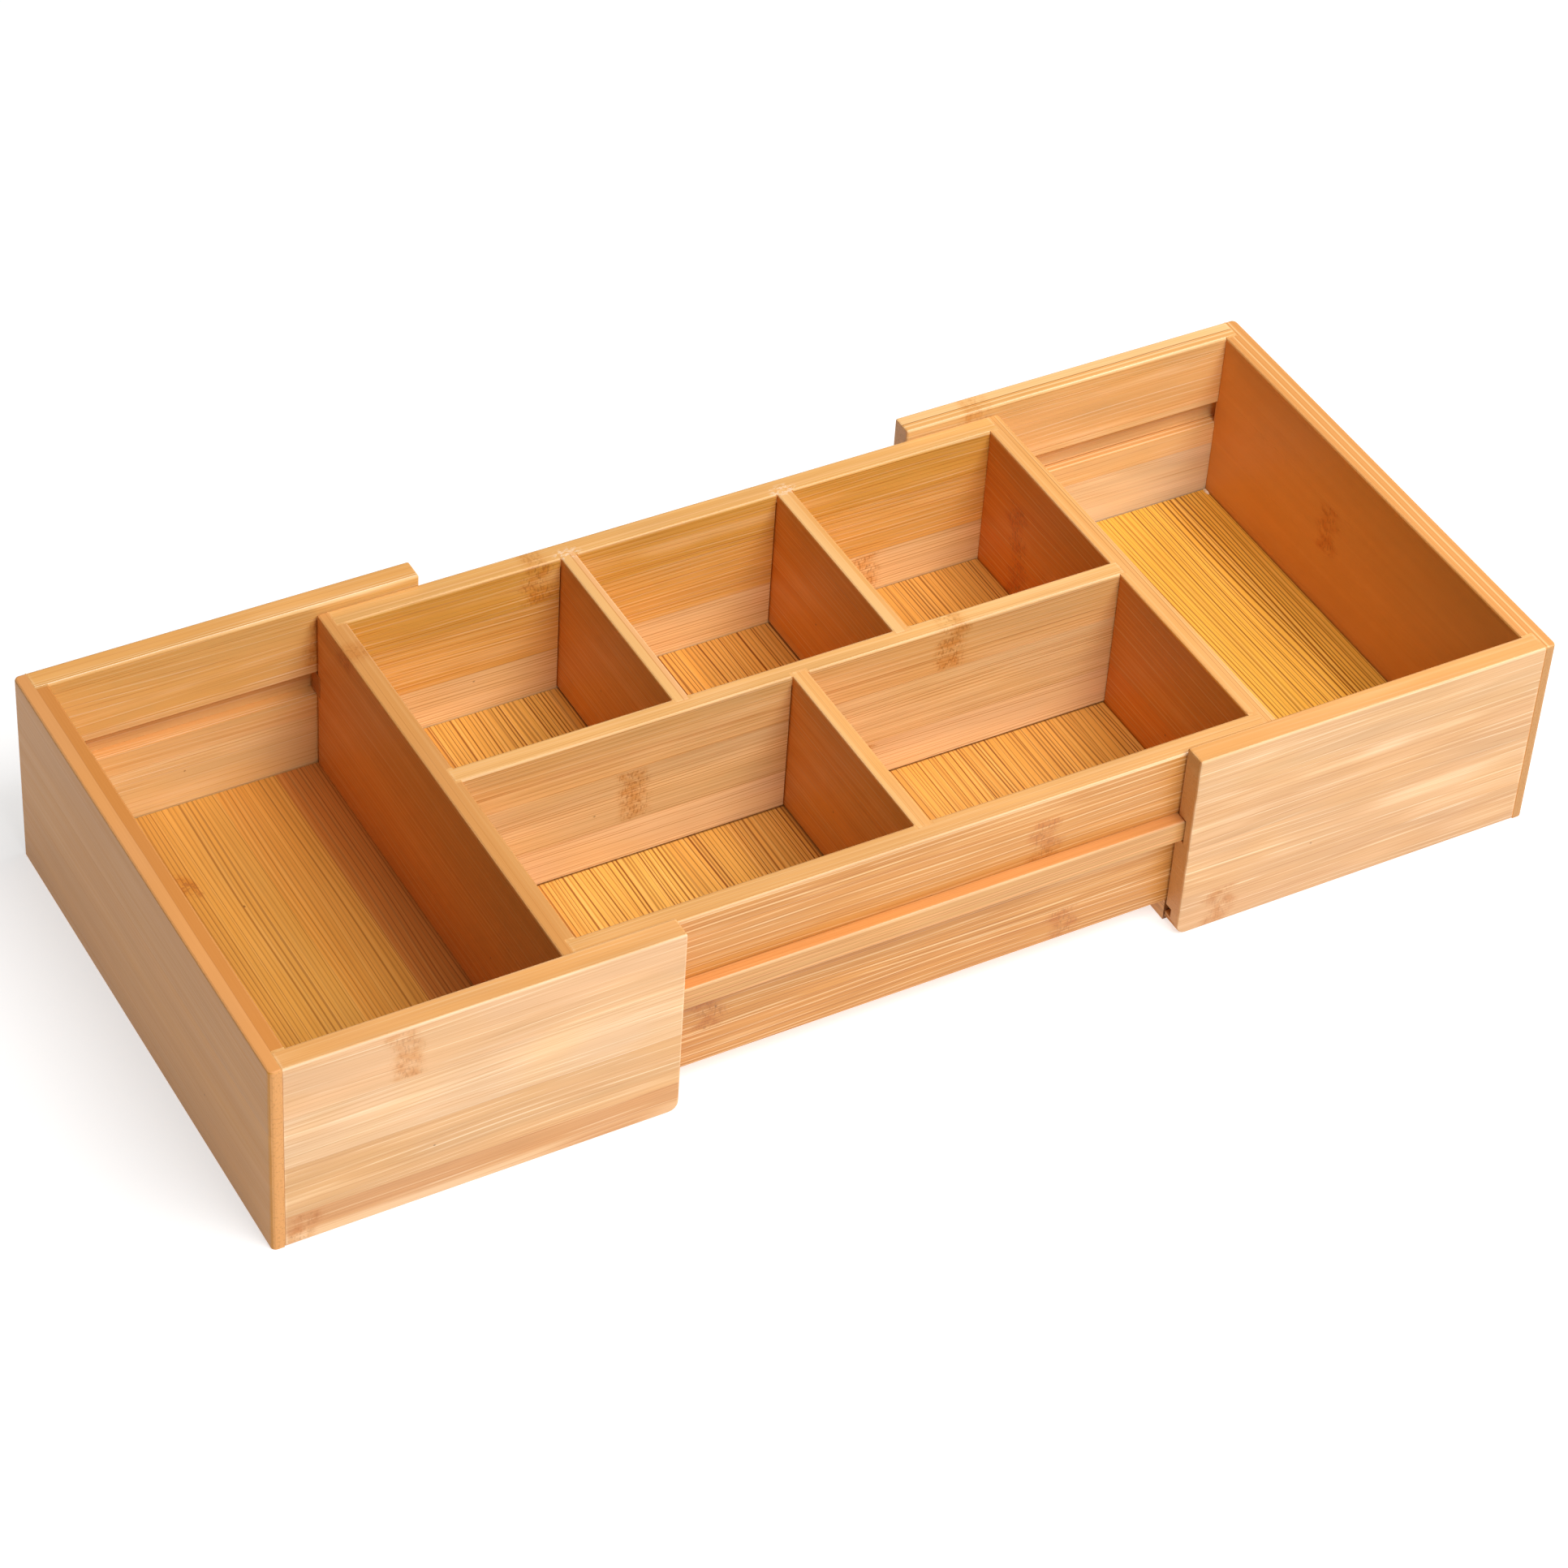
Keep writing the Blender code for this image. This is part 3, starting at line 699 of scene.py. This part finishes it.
def corner_glue(name, body, wall, end_wall):
    """The glue round the lap joint between a front or back wall and an end wall."""
    wall_low, wall_high = mm_box(wall)
    end_low, end_high = mm_box(end_wall)
    front = wall_low.y < 0
    outside_y, inside_y = (wall_low.y, wall_high.y) if front else (wall_high.y, wall_low.y)
    out_y = -1 if front else 1
    end_on_left = end_low.x < wall_low.x
    wall_end = wall_low.x if end_on_left else wall_high.x
    end_inside = end_high.x if end_on_left else end_low.x
    out_x = -1 if end_on_left else 1
    runs = [
        (wall_end, wall_end + out_x * GAP, outside_y - out_y * GLUE_BEHIND, inside_y - out_y * GAP),
        (wall_end, end_inside + out_x * GLUE_OVER_END, inside_y - out_y * GAP, inside_y + out_y * OVER_ROUND),
    ]
    glue_line(name, body, runs, wall_high.z - GLUE_BELOW, wall_low.z + GLUE_FOOT)


def housing_glue(name, body, divider, along, face, into):
    """The glue round a divider's end.

    Its neighbour's face is at the coordinate face (mm) on the axis along, and into is the sign of the way in.
    """
    low, high = mm_box(divider)
    runs = []
    deep = face + into * HOUSING_DEEP
    at_face = face + into * GLUE_BEHIND
    if along == "X":
        runs.append((deep, deep - into * GAP, low.y - GAP, high.y + GAP))
        runs.append((at_face, deep, low.y - GAP, low.y + OVER_ROUND))
        runs.append((at_face, deep, high.y + GAP, high.y - OVER_ROUND))
    else:
        runs.append((low.x - GAP, high.x + GAP, deep, deep - into * GAP))
        runs.append((low.x - GAP, low.x + OVER_ROUND, at_face, deep))
        runs.append((high.x + GAP, high.x - OVER_ROUND, at_face, deep))
    glue_line(name, body, runs, high.z - GLUE_BELOW, high.z - HOUSING_GLUE_DOWN)


for tray, sides in (("left", ("left",)), ("right", ("right",)), ("center", ("left", "right"))):
    for wall_side in ("front", "back"):
        for end_side in sides:
            end_node = f"center_{end_side}_wall" if tray == "center" else f"{tray}_end_wall"
            corner_name = f"glue_{tray}_{wall_side}_{end_side}_corner"
            corner_glue(corner_name, tray + "_tray", f"{tray}_{wall_side}_wall", end_node)

divider_low, divider_high = mm_box("long_divider")
left_inside = mm_box("center_left_wall")[1].x
right_inside = mm_box("center_right_wall")[0].x
housing_glue("glue_long_divider_left", "center_tray", "long_divider", "X", left_inside, -1)
housing_glue("glue_long_divider_right", "center_tray", "long_divider", "X", right_inside, 1)
for cross, wall, into in (
    ("back_divider_left", "center_back_wall", 1),
    ("back_divider_right", "center_back_wall", 1),
    ("front_divider", "center_front_wall", -1),
):
    wall_face = mm_box(wall)[0].y if into > 0 else mm_box(wall)[1].y
    long_face = divider_high.y if into > 0 else divider_low.y
    housing_glue("glue_" + cross + "_wall", "center_tray", cross, "Y", wall_face, into)
    housing_glue("glue_" + cross + "_middle", "center_tray", cross, "Y", long_face, -into)


BEAD_HALF = (0.55, 1.5, 0.55)  # mm
BEAD_CLEAR = (0.08, 0.2)  # mm from the end wall and the back wall
BEAD_UNEVEN = 0.08


def glue_bead(name):
    """A bead of squeezed-out glue on the right tray's floor, in its back corner."""
    floor_top = mm_box("right_base")[1].z
    corner = Vector((mm_box("right_end_wall")[0].x, mm_box("right_back_wall")[0].y, floor_top))
    centre = corner - Vector((BEAD_HALF[0] + BEAD_CLEAR[0], BEAD_HALF[1] + BEAD_CLEAR[1], 0.0))
    draw = random.Random(name)
    mesh = bmesh.new()
    bmesh.ops.create_icosphere(mesh, subdivisions=3, radius=1.0)
    for vert in mesh.verts:
        swell = 1 + draw.uniform(-BEAD_UNEVEN, BEAD_UNEVEN)
        shape = [vert.co[i] * BEAD_HALF[i] * swell for i in range(3)]
        vert.co = (centre + Vector(shape)) * MM
    for face in mesh.faces:
        face.smooth = True
    g = Graph(name)
    place = g.node("ShaderNodeTexCoord")
    grain = g.noise(g.vector(*(g.times(out, 700.0) for out in g.split(place.outputs["Object"]))), 2.0)
    colour = g.mix(g.step(grain, 0.35, 0.65), rgb("EAD4B4"), rgb("FBEEDC"))
    material = g.surface(colour, g.math("MULTIPLY_ADD", grain, 0.3, 0.2), grain, BUMP_DEPTH)
    piece = new_object(name, mesh, material)
    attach(piece, "right_tray")


glue_bead("glue_bead_right_corner")


# ---------------------------------------------------------------- studio

FLOOR_HALF = 4.0  # metres
FLOOR_BELOW = 0.0002  # metres from the object's feet, so that the two don't share a plane
FLOOR_GLOW = 0.62


def studio_floor():
    mesh = bmesh.new()
    bmesh.ops.create_grid(mesh, x_segments=8, y_segments=8, size=FLOOR_HALF)
    g = Graph("pale_paper")
    spot = g.node("ShaderNodeTexCoord")
    grain = g.noise(spot.outputs["Object"], 3.0)
    colour = g.mix(g.step(grain, 0.3, 0.7), rgb("BEBEBF"), rgb("C2C2C3"))
    floor = new_object("studio_floor", mesh, g.surface(colour, 0.9, None, 0.0, glow=FLOOR_GLOW))
    floor.location.z = CAD_LOW.z - FLOOR_BELOW


def softbox(name, toward, distance, size, power, colour):
    """A square soft light that shines at the middle of the object from the direction toward.

    distance and size are in metres, and power in watts.
    """
    data = bpy.data.lights.new(name, "AREA")
    data.shape = "SQUARE"
    data.size = size
    data.energy = power
    data.color = colour
    light = bpy.data.objects.new(name, data)
    bpy.context.scene.collection.objects.link(light)
    direction = Vector(toward).normalized()
    light.location = (CAD_LOW + CAD_HIGH) / 2 + direction * distance
    light.rotation_euler = direction.to_track_quat("Z", "Y").to_euler()
    light.visible_camera = False


def studio_sky(strength):
    world = bpy.data.worlds.new("studio_sky")
    bpy.context.scene.world = world
    world.use_nodes = True
    background = world.node_tree.nodes["Background"]
    background.inputs["Color"].default_value = (1.0, 1.0, 1.0, 1.0)
    background.inputs["Strength"].default_value = strength


studio_floor()
WARM_WHITE = (1.0, 0.99, 0.97)
softbox("front_light", (0.12, -0.56, 0.84), 1.8, 1.1, 34.0, WARM_WHITE)
softbox("right_light", (0.47, -0.05, 0.62), 0.80, 0.45, 3.3, WARM_WHITE)
studio_sky(0.09)
bpy.context.scene.view_settings.view_transform = "Standard"

# ---------------------------------------------------------------- camera

CAMERA_AIM = Vector((-0.00789, -0.01007, 0.03))
CAMERA_DISTANCE = 1.37889
CAMERA_AZIMUTH = math.radians(31.486)
CAMERA_ELEVATION = math.radians(41.581)
CAMERA_ROLL = math.radians(4.215)
CAMERA_LENS = 112.57  # mm, on a 36 mm sensor

toward_camera = Vector(
    (
        -math.sin(CAMERA_AZIMUTH) * math.cos(CAMERA_ELEVATION),
        -math.cos(CAMERA_AZIMUTH) * math.cos(CAMERA_ELEVATION),
        math.sin(CAMERA_ELEVATION),
    )
)
camera_data = bpy.data.cameras.new("photo_camera")
camera_data.lens = CAMERA_LENS
camera_data.sensor_width = 36.0
camera = bpy.data.objects.new("photo_camera", camera_data)
bpy.context.scene.collection.objects.link(camera)
turn = toward_camera.to_track_quat("Z", "Y").to_matrix().to_4x4() @ Matrix.Rotation(CAMERA_ROLL, 4, "Z")
camera.matrix_world = Matrix.Translation(CAMERA_AIM + toward_camera * CAMERA_DISTANCE) @ turn
bpy.context.scene.camera = camera
